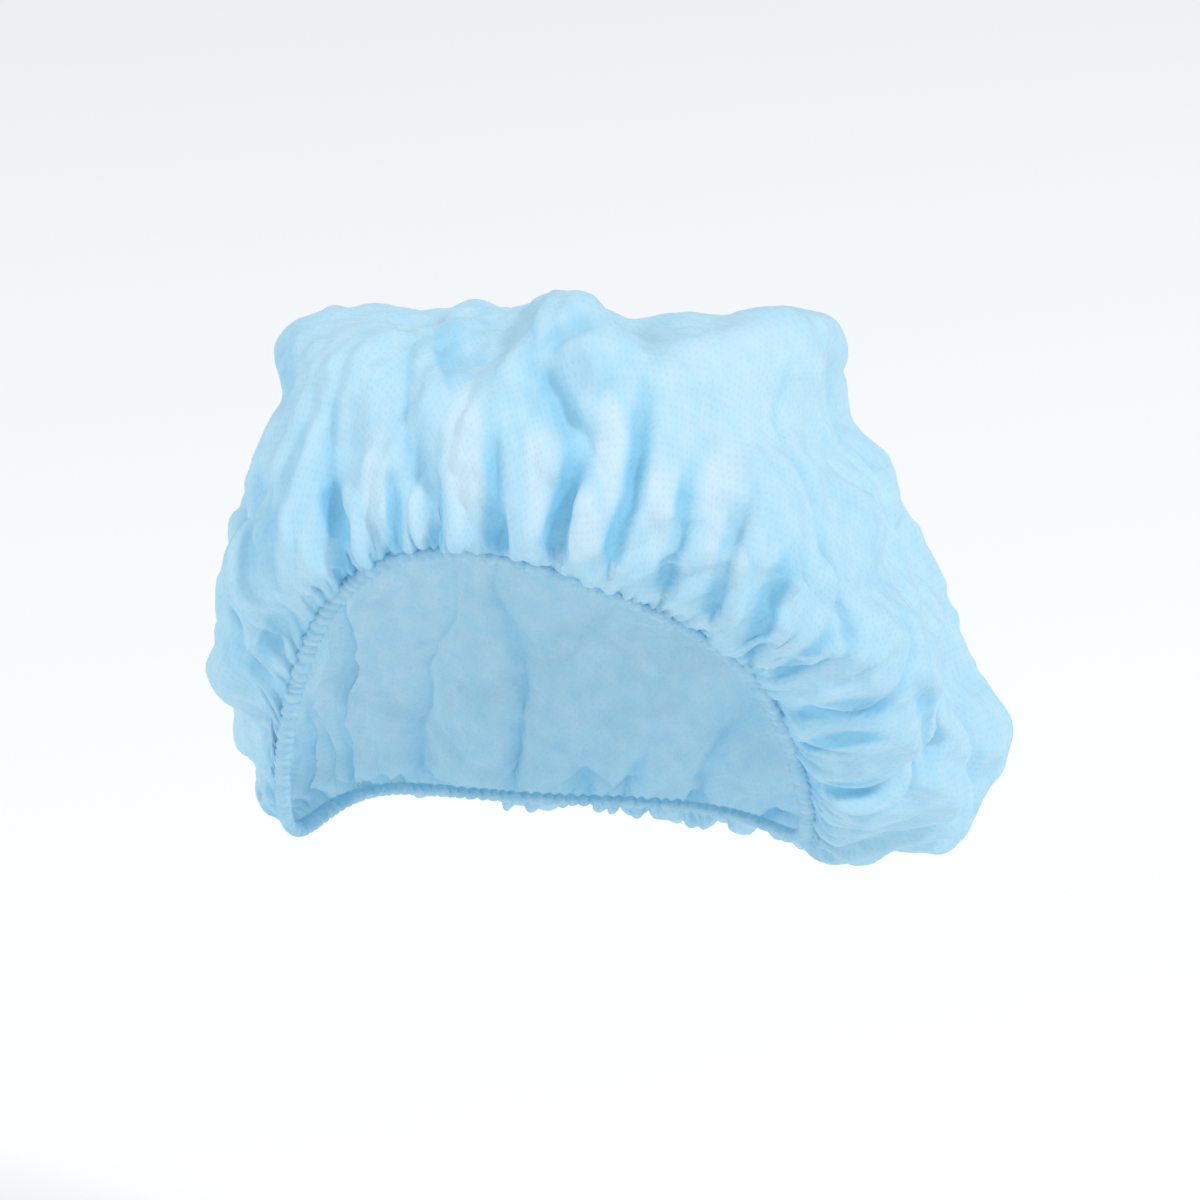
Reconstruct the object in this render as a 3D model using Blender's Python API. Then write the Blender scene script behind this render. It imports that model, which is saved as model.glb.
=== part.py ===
"""A disposable beret cap: a bag of thin non-woven cloth, gathered all round onto an elastic hem.

Metres, +Z up, the cap's front towards -Y. The origin is the centre of the hem loop, at its mean height.
The cap keeps the form that it has when worn: the hem slopes from high in front down to the back, and the
slack of the bag hangs behind it.
"""

import math
from collections import namedtuple

import bmesh
import bpy
from mathutils import Vector

# Driving dimensions
HEM_HALF_WIDTH = 0.0725
HEM_HALF_LENGTH = 0.092
HEM_RISE = 0.0565
HEM_RADIUS = 0.0024
HEM_RUCHE = 0.0003
SIDE_PUFF = 0.0395
FRONT_PUFF = 0.009
BACK_PUFF = 0.058
CROWN_RISE = 0.128
CLOTH = 0.001
SEAM_GAP = 0.0003
PLEATS = 40
PLEAT_DEPTH = 0.0042
PLEAT_START = 0.007
PLEAT_LENGTH = 0.038
FOLD_DEPTH = 0.010

# Sizes that follow from them
CAP_HALF_WIDTH = HEM_HALF_WIDTH + SIDE_PUFF
CAP_FRONT = HEM_HALF_LENGTH + FRONT_PUFF
CAP_BACK = HEM_HALF_LENGTH + BACK_PUFF
COLUMNS = 4 * PLEATS

# How the hem's height waves round the loop: the count of waves, and their shares of HEM_RISE that peak at the
# front and at the right. It is level in front, steep at the sides, and lower on the left.
Wave = namedtuple("Wave", "count front right")
HEM_WAVES = [Wave(1, 1.00, 0.24), Wave(2, 0.28, 0.17), Wave(3, 0.085, -0.05), Wave(4, 0.015, -0.075)]

# The cap's level loops, from the hem up to the crown's middle. left and right are shares of its half width,
# and front and back of its reach that way. The up columns are shares of the height from the hem to the crown,
# in the same four directions. square is 2 for an ellipse and more for a boxier loop.
Loop = namedtuple("Loop", "name left right front back up_left up_right up_front up_back square")
LOOPS = [
    Loop("gather", 0.700, 0.750, 0.960, 0.720, 0.030, -0.030, 0.100, -0.030, 2.1),
    Loop("under", 0.740, 0.870, 0.990, 0.865, 0.050, -0.030, 0.235, -0.030, 2.4),
    Loop("belly", 0.775, 0.970, 1.000, 0.975, 0.145, 0.055, 0.390, 0.050, 2.7),
    Loop("widest", 0.765, 1.000, 1.000, 1.000, 0.260, 0.195, 0.550, 0.185, 2.8),
    Loop("flank", 0.725, 0.935, 0.980, 0.985, 0.417, 0.370, 0.685, 0.330, 2.8),
    Loop("shoulder", 0.680, 0.850, 0.955, 0.910, 0.580, 0.570, 0.820, 0.520, 2.8),
    Loop("notch", 0.620, 0.735, 0.925, 0.790, 0.710, 0.750, 0.940, 0.670, 3.0),
    Loop("corner", 0.605, 0.690, 0.885, 0.685, 0.825, 0.890, 1.040, 0.778, 3.4),
    Loop("edge", 0.565, 0.665, 0.790, 0.575, 0.890, 0.985, 1.120, 0.827, 3.4),
    Loop("top", 0.460, 0.555, 0.615, 0.435, 0.915, 1.005, 1.140, 0.870, 3.0),
    Loop("middle", 0.300, 0.360, 0.375, 0.265, 0.935, 0.995, 1.100, 0.919, 2.6),
    Loop("centre", 0.130, 0.150, 0.160, 0.115, 0.955, 0.980, 1.000, 0.957, 2.2),
]

# The cap's main folds. angle is degrees round from the front, towards +X, and half_angle its half width.
# level counts loops from the hem, and half_level is half its length. depth is a share of FOLD_DEPTH, below 0
# for a dent, and lean is how many degrees the fold moves round with each level.
Fold = namedtuple("Fold", "name angle half_angle level half_level depth lean")
FOLDS = [
    Fold("crest", 22, 17, 9.2, 1.9, 1.15, 0),
    Fold("small_crest", -10, 12, 9.3, 1.5, 0.50, 0),
    Fold("crest_dent", 3, 9, 8.6, 2.8, -0.50, 1.0),
    Fold("front_crease", 24, 9, 5.6, 3.2, -0.70, -2.0),
    Fold("front_ridge", 12, 9, 4.8, 3.4, 0.40, 0.5),
    Fold("front_dent", -14, 9, 4.4, 3.0, -0.40, 0),
    Fold("right_front_dent", 42, 9, 5.0, 3.0, -0.40, 0.5),
    Fold("left_corner", -58, 14, 8.4, 2.2, 0.60, 0),
    Fold("left_notch", -82, 16, 7.0, 2.0, -0.60, 0),
    Fold("left_crease", -44, 10, 6.0, 3.4, -0.50, -2.0),
    Fold("left_swag", -108, 14, 4.8, 3.0, -0.60, -2.0),
    Fold("right_corner", 72, 16, 8.4, 2.2, 0.60, 0),
    Fold("right_notch", 94, 14, 6.6, 2.4, -0.65, 2.0),
    Fold("right_crease", 62, 11, 4.4, 3.2, -0.70, 3.0),
    Fold("right_side_crease", 96, 12, 3.0, 2.0, -0.45, 4.0),
    Fold("right_swag", 120, 12, 5.2, 3.2, -0.60, 3.0),
    Fold("low_corner", 140, 24, 3.6, 2.2, 0.90, 0),
    Fold("back_right", 154, 12, 5.6, 3.4, -0.60, -2.5),
    Fold("back_dent", 178, 16, 5.4, 3.4, -0.60, 1.0),
    Fold("back_crease", -142, 14, 5.2, 3.6, -0.65, 3.0),
    Fold("back_ridge", -160, 12, 6.6, 3.0, 0.45, 1.0),
    Fold("top_dip", 152, 30, 9.7, 1.9, -0.70, 0),
    Fold("top_ridge", -126, 26, 9.4, 1.7, 0.55, 0),
    Fold("top_side_dip", -72, 22, 10.4, 1.3, -0.50, 0),
    Fold("top_crease", 80, 22, 10.2, 1.5, -0.50, 0),
]

ROWS_PER_LOOP = 2
HEM_ROWS = 3
FINE_LEVELS = 3
COARSE_LEVELS = 9
HEM_SIDES = 8


def smooth_step(share):
    """0 below 0 and 1 above 1, with an even run between."""
    share = min(1.0, max(0.0, share))
    return share * share * (3 - 2 * share)


def round_hump(offset):
    """1 at 0, falling evenly to 0 at -1 and 1."""
    return smooth_step(1 - abs(offset))


def reach_at(angle, across, along, square):
    """How far from the middle a boxed ellipse is, in the direction of an angle."""
    powers = abs(math.sin(angle) / across) ** square + abs(math.cos(angle) / along) ** square
    return powers ** (-1 / square)


def round_blend(left, right, front, back, angle):
    """A value that is given in four directions, and runs evenly between them."""
    middle = (left + right + front + back) / 4
    twice = (front + back - left - right) / 4
    ahead, aside = (front - back) / 2, (right - left) / 2
    return middle + ahead * math.cos(angle) + aside * math.sin(angle) + twice * math.cos(2 * angle)


def hem_point(angle):
    """The middle of the elastic hem."""
    reach = reach_at(angle, HEM_HALF_WIDTH, HEM_HALF_LENGTH, 2)
    waves = [
        wave.front * math.cos(wave.count * angle) + wave.right * math.sin(wave.count * angle)
        for wave in HEM_WAVES
    ]
    return Vector((reach * math.sin(angle), -reach * math.cos(angle), HEM_RISE * sum(waves)))


def loop_point(loop, angle):
    across = (loop.right if math.sin(angle) > 0 else loop.left) * CAP_HALF_WIDTH
    along = loop.front * CAP_FRONT if math.cos(angle) > 0 else loop.back * CAP_BACK
    reach = reach_at(angle, across, along, loop.square)
    up = round_blend(loop.up_left, loop.up_right, loop.up_front, loop.up_back, angle)
    hem_height = hem_point(angle).z
    return Vector((
        reach * math.sin(angle),
        -reach * math.cos(angle),
        hem_height + up * (CROWN_RISE - hem_height),
    ))


def hem_direction(angle):
    return (hem_point(angle + 0.01) - hem_point(angle - 0.01)).normalized()


def edge_point(angle):
    """The cloth's own edge, just clear of the hem on the side that it leaves by."""
    hem, along = hem_point(angle), hem_direction(angle)
    away = loop_point(LOOPS[0], angle) - hem
    away -= along * away.dot(along)
    return hem + away.normalized() * (HEM_RADIUS + HEM_RUCHE + SEAM_GAP)


def crown_middle():
    front, back = (loop_point(LOOPS[-1], angle) for angle in (0, math.pi))
    return (front + back) / 2


def plain_point(angle, level):
    """The cap without pleats and folds: a smooth curve at each angle, through the loops."""
    points = [edge_point(angle)] + [loop_point(loop, angle) for loop in LOOPS] + [crown_middle()]
    first = min(int(level), len(points) - 2)
    share = level - first
    before, start, end, after = (
        points[min(max(first + step, 0), len(points) - 1)] for step in (-1, 0, 1, 2)
    )
    leaving, arriving = (end - before) / 2, (after - start) / 2
    square, cube = share**2, share**3
    return (
        start * (2 * cube - 3 * square + 1)
        + leaving * (cube - 2 * square + share)
        + end * (3 * square - 2 * cube)
        + arriving * (cube - square)
    )


def plain_normal(angle, level):
    step = 0.02
    round_it = plain_point(angle + step, level) - plain_point(angle - step, level)
    up_it = plain_point(angle, level + step) - plain_point(angle, max(level - step, 0))
    return round_it.cross(up_it).normalized()


def pleat_widths():
    """Each pleat's share of the hem. The widths differ as gathered cloth does, by a rule."""
    widths = [1 + 0.28 * math.sin(2.4 * pleat) + 0.12 * math.sin(5.3 * pleat + 1) for pleat in range(PLEATS)]
    total = sum(widths)
    return [width / total for width in widths]


def column_angles():
    """The angle of each column of points: four to a pleat, which are its start, ridge, middle and valley."""
    angles, start = [], 0.0
    for width in pleat_widths():
        angles += [2 * math.pi * (start + width * quarter / 4) for quarter in range(4)]
        start += width
    return angles


def pleat_height(column, away):
    """How far a column's pleat lifts the cloth, at a distance from the hem."""
    pleat, quarter = divmod(column, 4)
    depth = PLEAT_DEPTH * (0.85 + 0.25 * math.sin(1.7 * pleat + 0.6))
    length = PLEAT_LENGTH * (1 + 0.4 * math.sin(2.9 * pleat))
    side = (0, 1, 0, -1)[quarter]
    return side * depth * smooth_step(away / PLEAT_START) * (1 - smooth_step(away / length))


def fold_height(angle, level):
    total = 0.0
    for fold in FOLDS:
        middle = math.radians(fold.angle + fold.lean * (level - fold.level))
        round_it = (angle - middle + math.pi) % (2 * math.pi) - math.pi
        across = round_it / math.radians(fold.half_angle)
        along = (level - fold.level) / fold.half_level
        total += fold.depth * FOLD_DEPTH * round_hump(across) * round_hump(along)
    return total


def cloth_point(column, angle, level):
    point = plain_point(angle, level)
    away = (point - edge_point(angle)).length
    height = pleat_height(column, away) + fold_height(angle, level)
    return point + plain_normal(angle, level) * height


def row_levels():
    """The level of each row of points, closer together next to the hem."""
    near_hem = [row / (HEM_ROWS + 1) for row in range(HEM_ROWS + 1)]
    rest = [1 + row / ROWS_PER_LOOP for row in range(ROWS_PER_LOOP * (len(LOOPS) - 1) + 1)]
    return near_hem + rest


def columns_at(level):
    """The columns that a row has: all near the hem, then only ridges and valleys, then only ridges."""
    if level <= FINE_LEVELS:
        return range(COLUMNS)
    return range(1, COLUMNS, 2 if level <= COARSE_LEVELS else 4)


def join_rows(mesh, lower, upper):
    """Faces between two rows. Where the upper row has fewer columns, a face takes in the lower row's extra ones."""
    tops = sorted(upper)
    for here, column in enumerate(tops):
        following = tops[(here + 1) % len(tops)]
        span = (following - column) % COLUMNS
        feet = [lower[(column + step) % COLUMNS] for step in range(span + 1) if (column + step) % COLUMNS in lower]
        mesh.faces.new(feet + [upper[following], upper[column]])


def plain_material(name, colour, roughness):
    material = bpy.data.materials.new(name)
    material.use_nodes = True
    shader = material.node_tree.nodes["Principled BSDF"]
    shader.inputs["Base Color"].default_value = (*colour, 1)
    shader.inputs["Roughness"].default_value = roughness
    shader.inputs["Metallic"].default_value = 0
    return material


def finished(name, mesh, material):
    """A bmesh as a named, smooth-shaded object."""
    data = bpy.data.meshes.new(name)
    mesh.to_mesh(data)
    mesh.free()
    data.shade_smooth()
    data.materials.append(material)
    part = bpy.data.objects.new(name, data)
    bpy.context.scene.collection.objects.link(part)
    return part


def make_crown(material):
    """The bag of cloth: one open skin from the hem to the crown's middle, thickened inwards to its wall."""
    mesh = bmesh.new()
    angles = column_angles()
    rows = [
        {column: mesh.verts.new(cloth_point(column, angles[column], level)) for column in columns_at(level)}
        for level in row_levels()
    ]
    for lower, upper in zip(rows, rows[1:]):
        join_rows(mesh, lower, upper)
    last = [rows[-1][column] for column in sorted(rows[-1])]
    middle = mesh.verts.new(crown_middle())
    for here, vertex in enumerate(last):
        mesh.faces.new((vertex, last[(here + 1) % len(last)], middle))
    part = finished("crown", mesh, material)
    wall = part.modifiers.new("wall", "SOLIDIFY")
    wall.thickness = CLOTH
    wall.offset = -1
    return part


def make_hem(material):
    """The narrow hem round the elastic: a closed tube that swells a little at each gather."""
    mesh = bmesh.new()
    rings = []
    for column, angle in enumerate(column_angles()[::2]):
        middle = hem_point(angle)
        forward = hem_direction(angle)
        outward = forward.cross(Vector((0, 0, 1))).normalized()
        upward = outward.cross(forward)
        radius = HEM_RADIUS + (HEM_RUCHE if column % 2 else -HEM_RUCHE)
        turns = [2 * math.pi * side / HEM_SIDES for side in range(HEM_SIDES)]
        rings.append([
            mesh.verts.new(middle + (outward * math.cos(turn) + upward * math.sin(turn)) * radius)
            for turn in turns
        ])
    for here, ring in enumerate(rings):
        following = rings[(here + 1) % len(rings)]
        for side in range(HEM_SIDES):
            across = (side + 1) % HEM_SIDES
            mesh.faces.new((ring[side], following[side], following[across], ring[across]))
    bmesh.ops.recalc_face_normals(mesh, faces=mesh.faces)
    return finished("elastic_hem", mesh, material)


def main():
    for old in list(bpy.data.objects):
        bpy.data.objects.remove(old)
    make_crown(plain_material("non-woven cloth", (0.41, 0.74, 0.91), 0.75))
    make_hem(plain_material("gathered hem", (0.36, 0.70, 0.89), 0.75))


main()
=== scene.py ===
# %% [markdown]
# # A disposable beret cap of non-woven cloth
# The cap is a disc of very thin, pale blue spunbond cloth. Its whole edge is gathered onto an elastic, so as
# worn it puffs up in front and its slack hangs behind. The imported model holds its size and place. This script
# loads that model as a fixed frame, and makes the cloth, the ruched hem and their finishes around it.

# %% Load the frame
import math
from collections import namedtuple

import bmesh
import bpy
import numpy as np
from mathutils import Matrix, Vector, noise


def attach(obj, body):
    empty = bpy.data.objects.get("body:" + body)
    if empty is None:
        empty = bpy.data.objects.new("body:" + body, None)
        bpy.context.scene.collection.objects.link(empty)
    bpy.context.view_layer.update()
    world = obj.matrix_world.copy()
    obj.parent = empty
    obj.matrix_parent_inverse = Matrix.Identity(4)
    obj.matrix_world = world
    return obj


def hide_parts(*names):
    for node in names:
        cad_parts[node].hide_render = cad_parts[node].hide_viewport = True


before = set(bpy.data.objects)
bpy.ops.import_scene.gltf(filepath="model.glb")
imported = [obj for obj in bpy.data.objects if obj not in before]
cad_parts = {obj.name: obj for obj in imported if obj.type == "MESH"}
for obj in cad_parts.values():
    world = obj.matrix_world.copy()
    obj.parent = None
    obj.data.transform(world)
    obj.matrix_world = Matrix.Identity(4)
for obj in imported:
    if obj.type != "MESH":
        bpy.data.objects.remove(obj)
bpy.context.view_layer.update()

# %% [markdown]
# ## The camera
# The photograph looks at the cap from a little above, and a little to one side of its front. A long lens
# keeps near and far parts at almost one scale, as in the photograph.

# %% Camera
VIEW_TURN, VIEW_RISE = math.radians(17), math.radians(15)
LENS, FILM = 200, 36
FRAME_WIDTH = 0.340
ACROSS = np.array([math.cos(VIEW_TURN), math.sin(VIEW_TURN), 0])
TOWARDS = np.array([
    math.sin(VIEW_TURN) * math.cos(VIEW_RISE),
    -math.cos(VIEW_TURN) * math.cos(VIEW_RISE),
    math.sin(VIEW_RISE),
])
UPWARDS = np.cross(TOWARDS, ACROSS)
VIEW_CENTRE = 0.015 * ACROSS + 0.040 * UPWARDS

lens = bpy.data.cameras.new("camera")
lens.lens, lens.sensor_width = LENS, FILM
camera = bpy.data.objects.new("camera", lens)
bpy.context.scene.collection.objects.link(camera)
camera.location = VIEW_CENTRE + TOWARDS * (FRAME_WIDTH * LENS / FILM)
camera.rotation_mode = "QUATERNION"
camera.rotation_quaternion = Vector(-TOWARDS).to_track_quat("-Z", "Y")
bpy.context.scene.camera = camera
print("camera is", round(FRAME_WIDTH * LENS / FILM, 2), "m away")

# %% [markdown]
# ## The cap's large form
# The cloth starts from the same level loops as the solid model: each row of the table is one loop, as shares
# of the cap's half width and reach. A smooth curve runs through them from the hem to the middle of the crown.
# An angle of 0 is the middle of the front, and angles grow towards the right of the picture. The last column
# is 2 for an oval loop, and more for a squarer one. The hem's height is a sum of slow waves round its loop.

# %% The loops, from the hem to the crown's middle
HEM_HALF_WIDTH, HEM_HALF_LENGTH = 0.0725, 0.092
HEM_RISE = 0.0565
CAP_HALF_WIDTH = HEM_HALF_WIDTH + 0.0395
CAP_FRONT = HEM_HALF_LENGTH + 0.009
CAP_BACK = HEM_HALF_LENGTH + 0.058
CROWN_RISE = 0.128

Wave = namedtuple("Wave", "count front right")
HEM_WAVES = [Wave(1, 1.00, 0.24), Wave(2, 0.28, 0.17), Wave(3, 0.085, -0.05), Wave(4, 0.015, -0.075)]

Loop = namedtuple("Loop", "name left right front back up_left up_right up_front up_back square")
LOOPS = [
    Loop("gather", 0.700, 0.750, 0.960, 0.720, 0.030, -0.030, 0.100, -0.030, 2.1),
    Loop("under", 0.740, 0.870, 0.990, 0.865, 0.050, -0.030, 0.235, -0.030, 2.4),
    Loop("belly", 0.775, 0.970, 1.000, 0.975, 0.145, 0.055, 0.390, 0.050, 2.7),
    Loop("widest", 0.765, 1.000, 1.000, 1.000, 0.260, 0.195, 0.550, 0.185, 2.8),
    Loop("flank", 0.725, 0.935, 0.980, 0.985, 0.417, 0.370, 0.685, 0.330, 2.8),
    Loop("shoulder", 0.680, 0.850, 0.955, 0.910, 0.580, 0.570, 0.820, 0.520, 2.8),
    Loop("notch", 0.620, 0.735, 0.925, 0.790, 0.710, 0.750, 0.940, 0.670, 3.0),
    Loop("corner", 0.605, 0.690, 0.885, 0.685, 0.825, 0.890, 1.040, 0.778, 3.4),
    Loop("edge", 0.565, 0.665, 0.790, 0.575, 0.890, 0.985, 1.120, 0.827, 3.4),
    Loop("top", 0.460, 0.555, 0.615, 0.435, 0.915, 1.005, 1.140, 0.870, 3.0),
    Loop("middle", 0.300, 0.360, 0.375, 0.265, 0.935, 0.995, 1.100, 0.919, 2.6),
    Loop("centre", 0.130, 0.150, 0.160, 0.115, 0.955, 0.980, 1.000, 0.957, 2.2),
]


def reach_at(angle, across, along, square):
    powers = np.abs(np.sin(angle) / across) ** square + np.abs(np.cos(angle) / along) ** square
    return powers ** (-1 / square)


def round_blend(left, right, front, back, angle):
    middle, twice = (left + right + front + back) / 4, (front + back - left - right) / 4
    aside = (right - left) / 2 * np.sin(angle)
    return middle + (front - back) / 2 * np.cos(angle) + aside + twice * np.cos(2 * angle)


def hem_line(angle):
    """The middle of the elastic hem, as one row of points for each angle."""
    reach = reach_at(angle, HEM_HALF_WIDTH, HEM_HALF_LENGTH, 2)
    height = sum(w.front * np.cos(w.count * angle) + w.right * np.sin(w.count * angle) for w in HEM_WAVES)
    return np.stack([reach * np.sin(angle), -reach * np.cos(angle), HEM_RISE * height], axis=-1)


def loop_line(loop, angle):
    across = np.where(np.sin(angle) > 0, loop.right, loop.left) * CAP_HALF_WIDTH
    along = np.where(np.cos(angle) > 0, loop.front * CAP_FRONT, loop.back * CAP_BACK)
    reach = reach_at(angle, across, along, loop.square)
    up = round_blend(loop.up_left, loop.up_right, loop.up_front, loop.up_back, angle)
    hem_height = hem_line(angle)[..., 2]
    height = hem_height + up * (CROWN_RISE - hem_height)
    return np.stack([reach * np.sin(angle), -reach * np.cos(angle), height], axis=-1)


def unit(vectors):
    return vectors / np.linalg.norm(vectors, axis=-1, keepdims=True)


def hem_frame(angle):
    """At each angle: the way along the hem, and the way that the cloth leaves it."""
    along = unit(hem_line(angle + 0.01) - hem_line(angle - 0.01))
    away = loop_line(LOOPS[0], angle) - hem_line(angle)
    away -= along * (along * away).sum(-1, keepdims=True)
    return along, unit(away)


print(len(LOOPS), "loops between the hem and the crown's middle")

# %% [markdown]
# Cloth has no loops of its own: it is a flat disc that was gathered. So the form is sampled once, evenly by
# length from the hem to the middle, and each point of the flat disc then looks up its place on it.

# %% A table of the form, even by length along each meridian
EDGE_INSET = 0.0016
TABLE_ANGLES, TABLE_STEPS, CURVE_STEPS = 720, 300, 20

table_angle = np.linspace(-math.pi, math.pi, TABLE_ANGLES + 1)
crown_middle = (loop_line(LOOPS[-1], np.array([0.0])) + loop_line(LOOPS[-1], np.array([math.pi]))) / 2
edge = hem_line(table_angle) + hem_frame(table_angle)[1] * EDGE_INSET
rings = [edge] + [loop_line(loop, table_angle) for loop in LOOPS]
rings = np.stack(rings + [np.repeat(crown_middle, len(table_angle), axis=0)])


def between_rings(level):
    """The form's whole ring of points at a level, on smooth curves through the loops."""
    first = min(int(level), len(rings) - 2)
    share = level - first
    before, start, end, after = (rings[min(max(first + step, 0), len(rings) - 1)] for step in (-1, 0, 1, 2))
    leaving, arriving = (end - before) / 2, (after - start) / 2
    square, cube = share**2, share**3
    return (
        start * (2 * cube - 3 * square + 1) + leaving * (cube - 2 * square + share)
        + end * (3 * square - 2 * cube) + arriving * (cube - square)
    )


levels = np.linspace(0, len(rings) - 1, (len(rings) - 1) * CURVE_STEPS + 1)
curves = np.stack([between_rings(level) for level in levels])
steps = np.linalg.norm(np.diff(curves, axis=0), axis=2)
run = np.concatenate([np.zeros((1, curves.shape[1])), steps.cumsum(0)])
meridian_length = run[-1]
shares = np.linspace(0, 1, TABLE_STEPS + 1)
form = np.zeros((TABLE_STEPS + 1, TABLE_ANGLES + 1, 3))
form_level = np.zeros((TABLE_STEPS + 1, TABLE_ANGLES + 1))
for column in range(TABLE_ANGLES + 1):
    at = shares * meridian_length[column]
    form_level[:, column] = np.interp(at, run[:, column], levels)
    for axis in range(3):
        form[:, column, axis] = np.interp(at, run[:, column], curves[:, column, axis])
print("hem to middle:", round(meridian_length.min() * 1000), "to", round(meridian_length.max() * 1000), "mm")


def looked_up(table, angle, share):
    """A table's value at each angle and share of the way in from the hem, evenly between its rows."""
    column = (angle + math.pi) / (2 * math.pi) * TABLE_ANGLES
    row = np.clip(share, 0, 1) * TABLE_STEPS
    left, low = np.clip(column.astype(int), 0, TABLE_ANGLES - 1), np.clip(row.astype(int), 0, TABLE_STEPS - 1)
    across, up = column - left, row - low
    if table.ndim == 3:
        across, up = across[:, None], up[:, None]
    lower = table[low, left] * (1 - across) + table[low, left + 1] * across
    upper = table[low + 1, left] * (1 - across) + table[low + 1, left + 1] * across
    return lower * (1 - up) + upper * up


# %% [markdown]
# ## The flat disc
# A square grid, bent so that its sides follow a circle, covers a disc with cells of almost one size. That is
# what woven and non-woven sheets like in a simulation, and it leaves no pole of thin triangles in the middle.
# The disc's centre doesn't lie over the middle of the hem: the front of the cap is shorter than the back.

# %% Disc grid
GRID = 158
FLAT_RADIUS = 0.240
CENTRE_BACK = 0.30


def disc_grid(count):
    """Points of a square grid bent to the unit disc, and its faces, which face up."""
    line = np.linspace(-1, 1, count)
    x, y = np.meshgrid(line, line)
    wide = np.abs(x) > np.abs(y)
    far = np.where(wide, x, y)
    near = np.where(wide, y, x)
    turn = math.pi / 4 * np.divide(near, far, out=np.zeros_like(far), where=far != 0)
    u = np.where(wide, far * np.cos(turn), far * np.sin(turn))
    v = np.where(wide, far * np.sin(turn), far * np.cos(turn))
    corner = (np.arange(count - 1)[:, None] * count + np.arange(count - 1)).ravel()
    faces = np.stack([corner, corner + 1, corner + count + 1, corner + count], axis=1)
    return np.stack([u.ravel(), v.ravel()], axis=1), faces


def places_on_cap(disc_points):
    """For points of the unit disc: the angle round the hem, the share of the way in, and the metres in."""
    moved = disc_points.copy()
    moved[:, 1] += CENTRE_BACK * (1 - (disc_points**2).sum(1))
    around = np.arctan2(moved[:, 0], -moved[:, 1])
    share = 1 - np.linalg.norm(moved, axis=1)
    share[share < 1e-6] = 0
    return around, share, share * np.interp(around, table_angle, meridian_length)


disc, disc_faces = disc_grid(GRID)
angle, share_in, from_hem = places_on_cap(disc)
base = looked_up(form, angle, share_in)
level = looked_up(form_level, angle, share_in)
print(len(disc), "points on the disc")


def face_normals(points, faces):
    a, b, c, d = (points[faces[:, k]] for k in range(4))
    return np.cross(c - a, d - b)


def point_normals(points, faces):
    total = np.zeros_like(points)
    normals = face_normals(points, faces)
    for k in range(4):
        np.add.at(total, faces[:, k], normals)
    return unit(total)


outward = point_normals(base, disc_faces)
print("outward normals:", round(float((outward * base).sum(1).mean()), 3), "should be above 0")

# %% [markdown]
# ## Folds and gathers
# Three things bend the sheet. Broad folds and swells give the bag its corners and hollows. Pleats stand all
# round the hem, where a long edge is drawn onto a short elastic: they are fine at the hem and merge further
# in. Last come the creases that the photograph shows on the front. In the table of broad folds, angles are in
# degrees, levels count the loops from the hem, and depths are shares of one fold's depth, below 0 for a dent.

# %% Broad folds
FOLD_DEPTH = 0.010
Fold = namedtuple("Fold", "name angle half_angle level half_level depth lean")
FOLDS = [
    Fold("crest", 22, 17, 9.2, 1.9, 1.15, 0),
    Fold("small_crest", -10, 12, 9.3, 1.5, 0.50, 0),
    Fold("crest_dent", 3, 9, 8.6, 2.8, -0.50, 1.0),
    Fold("front_crease", 24, 9, 5.6, 3.2, -0.70, -2.0),
    Fold("front_ridge", 12, 9, 4.8, 3.4, 0.40, 0.5),
    Fold("front_dent", -14, 9, 4.4, 3.0, -0.40, 0),
    Fold("right_front_dent", 42, 9, 5.0, 3.0, -0.40, 0.5),
    Fold("left_corner", -58, 14, 8.4, 2.2, 0.60, 0),
    Fold("left_notch", -82, 16, 7.0, 2.0, -0.60, 0),
    Fold("left_crease", -44, 10, 6.0, 3.4, -0.50, -2.0),
    Fold("left_swag", -108, 14, 4.8, 3.0, -0.60, -2.0),
    Fold("right_corner", 72, 16, 8.4, 2.2, 0.60, 0),
    Fold("right_notch", 94, 14, 6.6, 2.4, -0.65, 2.0),
    Fold("right_crease", 62, 11, 4.4, 3.2, -0.70, 3.0),
    Fold("right_side_crease", 96, 12, 3.0, 2.0, -0.45, 4.0),
    Fold("right_swag", 120, 12, 5.2, 3.2, -0.60, 3.0),
    Fold("low_corner", 140, 24, 3.6, 2.2, 0.90, 0),
    Fold("back_right", 154, 12, 5.6, 3.4, -0.60, -2.5),
    Fold("back_dent", 178, 16, 5.4, 3.4, -0.60, 1.0),
    Fold("back_crease", -142, 14, 5.2, 3.6, -0.65, 3.0),
    Fold("back_ridge", -160, 12, 6.6, 3.0, 0.45, 1.0),
    Fold("top_dip", 152, 30, 9.7, 1.9, -0.70, 0),
    Fold("top_ridge", -126, 26, 9.4, 1.7, 0.55, 0),
    Fold("top_side_dip", -72, 22, 10.4, 1.3, -0.50, 0),
    Fold("top_crease", 80, 22, 10.2, 1.5, -0.50, 0),
]


def smooth_step(share):
    share = np.clip(share, 0, 1)
    return share * share * (3 - 2 * share)


def fold_heights():
    total = np.zeros(len(base))
    for fold in FOLDS:
        middle = np.radians(fold.angle + fold.lean * (level - fold.level))
        across = ((angle - middle + math.pi) % (2 * math.pi) - math.pi) / math.radians(fold.half_angle)
        along = (level - fold.level) / fold.half_level
        total += fold.depth * FOLD_DEPTH * smooth_step(1 - abs(across)) * smooth_step(1 - abs(along))
    return total


shape = base + outward * fold_heights()[:, None]
outward = point_normals(shape, disc_faces)
print(len(FOLDS), "broad folds, up to", round(float(np.abs(shape - base).max()) * 1000, 1), "mm")

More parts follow.
